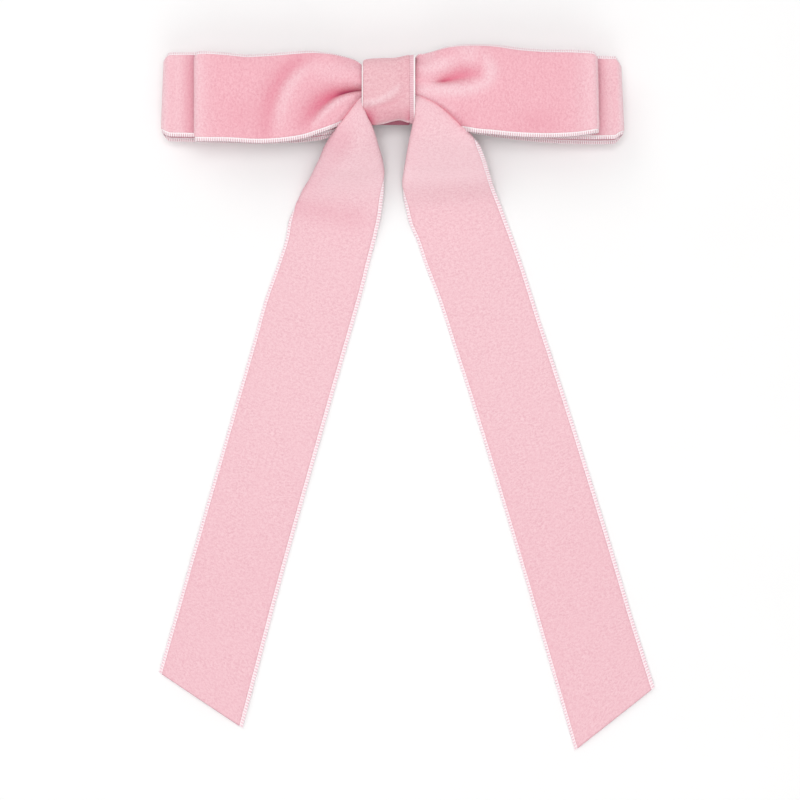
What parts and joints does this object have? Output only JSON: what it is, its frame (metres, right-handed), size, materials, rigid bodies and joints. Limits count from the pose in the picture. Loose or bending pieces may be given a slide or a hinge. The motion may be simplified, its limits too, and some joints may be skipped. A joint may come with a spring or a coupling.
{
  "type": "barrette",
  "caption": "Hair barrette: a two-tier ribbon bow with a wrapped middle and long slanted tails on an auto-lock clip with a hinged clasp arm.",
  "frame": {"origin": "on the clasp arm's flat underside, below the middle of the 80 mm clip", "axes": "+X along the clip from the hinge to the catch, +Y from the tails towards the bow's upper edge, +Z out of the bow's front"},
  "size_m": [0.1345, 0.1896, 0.0194],
  "materials": {
    "velvet_loops": "single-face velvet ribbon, dusty pink pile, satin back",
    "velvet_tails": "single-face velvet ribbon, dusty pink pile, satin back",
    "velvet_wrap": "narrow single-face velvet ribbon, dusty pink pile",
    "thread": "twisted polyester sewing thread, off-white",
    "grosgrain": "ribbed grosgrain ribbon, off-white",
    "nickel_steel": "nickel-plated stamped steel, light brushing",
    "spring_steel": "nickel-plated spring steel strip, smooth",
    "pin_steel": "plated steel wire and rivet, turned ends"
  },
  "bodies": {
    "bow_and_base": {"clip_base": "nickel_steel", "upper_loop": "velvet_loops", "lower_loop": "velvet_loops", "tail_left": "velvet_tails", "tail_right": "velvet_tails", "centre_wrap": "velvet_wrap", "gathering_thread": "thread", "backing_ribbon": "grosgrain", "leaf_spring": "spring_steel", "hinge_pin": "pin_steel", "latch_bracket": "nickel_steel", "latch_rivet": "pin_steel"},
    "clasp": {"clasp_arm": "nickel_steel"},
    "jaw_front": {"latch_jaw_front": "spring_steel"},
    "jaw_back": {"latch_jaw_back": "spring_steel"}
  },
  "joints": [
    {"name": "clasp_hinge", "type": "hinge", "parent": "bow_and_base", "child": "clasp", "pos_m": [-0.038, 0, 0.0023], "axis": [0, 1, 0], "range_deg": [0, 65]},
    {"name": "jaw_front_squeeze", "type": "hinge", "parent": "bow_and_base", "child": "jaw_front", "pos_m": [0.036, -0.00195, 0.0058], "axis": [1, 0, 0], "range_deg": [0, 8], "stiffness_Nm_per_rad": 0.01},
    {"name": "jaw_back_squeeze", "type": "hinge", "parent": "bow_and_base", "child": "jaw_back", "pos_m": [0.036, 0.00195, 0.0058], "axis": [-1, 0, 0], "range_deg": [0, 8], "stiffness_Nm_per_rad": 0.01}
  ],
  "couplings": [
    {"joint": "jaw_back_squeeze", "follows": "jaw_front_squeeze", "ratio": 1}
  ]
}
